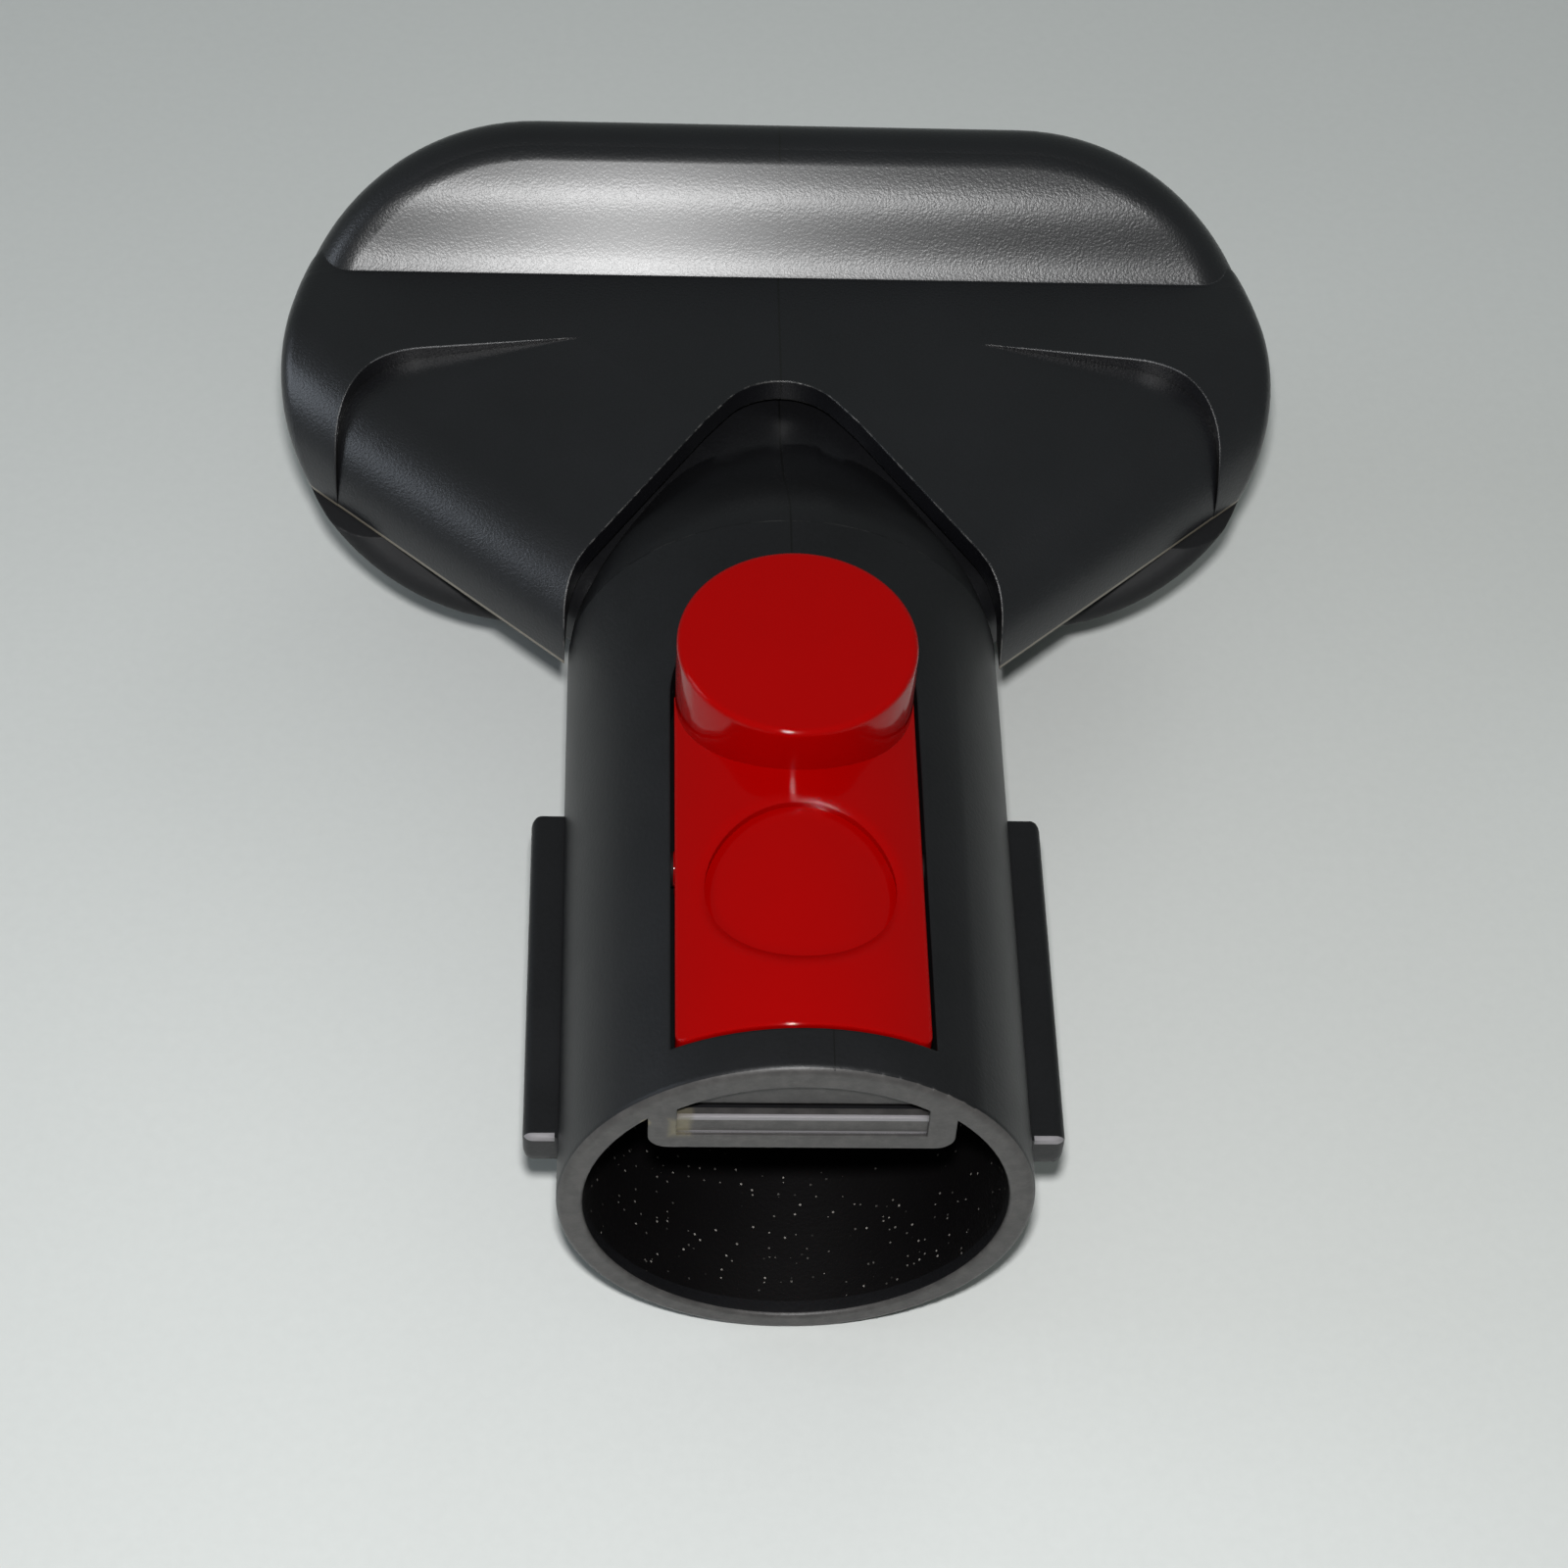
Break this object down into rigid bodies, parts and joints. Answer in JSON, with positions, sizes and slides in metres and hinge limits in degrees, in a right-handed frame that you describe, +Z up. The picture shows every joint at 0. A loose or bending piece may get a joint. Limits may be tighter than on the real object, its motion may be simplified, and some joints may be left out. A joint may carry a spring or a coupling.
{
  "type": "stiff bristle vacuum brush",
  "caption": "Stiff bristle brush head with a wand collar, a sprung release button and a leaning oval head round a suction slot.",
  "frame": {"origin": "centre of the collar's mouth, on the collar's axis", "axes": "+Y along the collar into the tool, +Z up on the release button's side, +X to the right"},
  "size_m": [0.0962, 0.1183, 0.0447],
  "materials": {
    "body_plastic": "fine matt grain",
    "cover_plastic": "satin grain",
    "sole_plastic": "matt",
    "button_plastic": "gloss",
    "spring_steel": "drawn wire",
    "bristle_nylon": "stiff nylon filaments"
  },
  "bodies": {
    "root": {"collar_body": "body_plastic", "head_cover": "cover_plastic", "sole_plate": "sole_plastic", "button_spring": "spring_steel", "tuft_01": "bristle_nylon", "tuft_02": "bristle_nylon", "tuft_03": "bristle_nylon", "tuft_04": "bristle_nylon", "tuft_05": "bristle_nylon", "tuft_06": "bristle_nylon", "tuft_07": "bristle_nylon", "tuft_08": "bristle_nylon", "tuft_09": "bristle_nylon", "tuft_10": "bristle_nylon", "tuft_11": "bristle_nylon", "tuft_12": "bristle_nylon", "tuft_13": "bristle_nylon", "tuft_14": "bristle_nylon", "tuft_15": "bristle_nylon", "tuft_16": "bristle_nylon", "tuft_17": "bristle_nylon", "tuft_18": "bristle_nylon", "tuft_19": "bristle_nylon", "tuft_20": "bristle_nylon", "tuft_21": "bristle_nylon", "tuft_22": "bristle_nylon", "tuft_23": "bristle_nylon", "tuft_24": "bristle_nylon", "tuft_25": "bristle_nylon", "tuft_26": "bristle_nylon", "tuft_27": "bristle_nylon", "tuft_28": "bristle_nylon", "tuft_29": "bristle_nylon", "tuft_30": "bristle_nylon", "tuft_31": "bristle_nylon", "tuft_32": "bristle_nylon", "tuft_33": "bristle_nylon", "tuft_34": "bristle_nylon", "tuft_35": "bristle_nylon", "tuft_36": "bristle_nylon", "tuft_37": "bristle_nylon", "tuft_38": "bristle_nylon", "tuft_39": "bristle_nylon", "tuft_40": "bristle_nylon", "tuft_41": "bristle_nylon", "tuft_42": "bristle_nylon", "tuft_43": "bristle_nylon", "tuft_44": "bristle_nylon", "tuft_45": "bristle_nylon", "tuft_46": "bristle_nylon", "tuft_47": "bristle_nylon", "tuft_48": "bristle_nylon", "tuft_49": "bristle_nylon", "tuft_50": "bristle_nylon"},
    "button": {"release_button": "button_plastic"}
  },
  "joints": [
    {"name": "button_press", "type": "hinge", "parent": "root", "child": "button", "pos_m": [0, 0.025, 0.0135], "axis": [-1, 0, 0], "range_deg": [0, 6], "stiffness_Nm_per_rad": 0.6, "springref_deg": -5.73, "deforming": ["button_spring"]}
  ]
}
